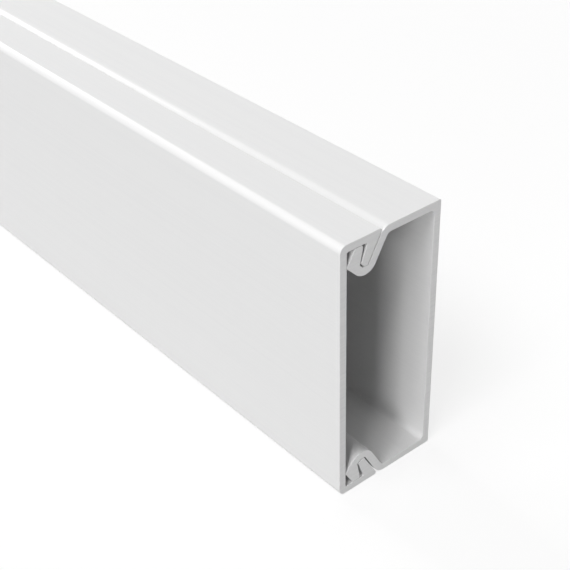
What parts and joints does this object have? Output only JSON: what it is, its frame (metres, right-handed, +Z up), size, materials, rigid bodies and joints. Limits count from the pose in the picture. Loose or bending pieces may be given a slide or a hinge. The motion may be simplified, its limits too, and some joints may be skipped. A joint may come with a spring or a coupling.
{
  "type": "cord cover raceway",
  "caption": "White plastic cord cover raceway: a shallow rectangular channel that fixes to a wall, with a clip-on cover that hides the cables running through it.",
  "frame": {"origin": "centre of the underside, midway along the length, as the stick stands on its narrow side", "axes": "+X along the length, -Y out of the cover's face, +Y towards the wall, +Z up across the face"},
  "size_m": [0.4, 0.017, 0.04],
  "materials": {
    "white_pvc": "satin"
  },
  "bodies": {
    "root": {"base_channel": "white_pvc", "front_cover": "white_pvc"}
  },
  "joints": []
}
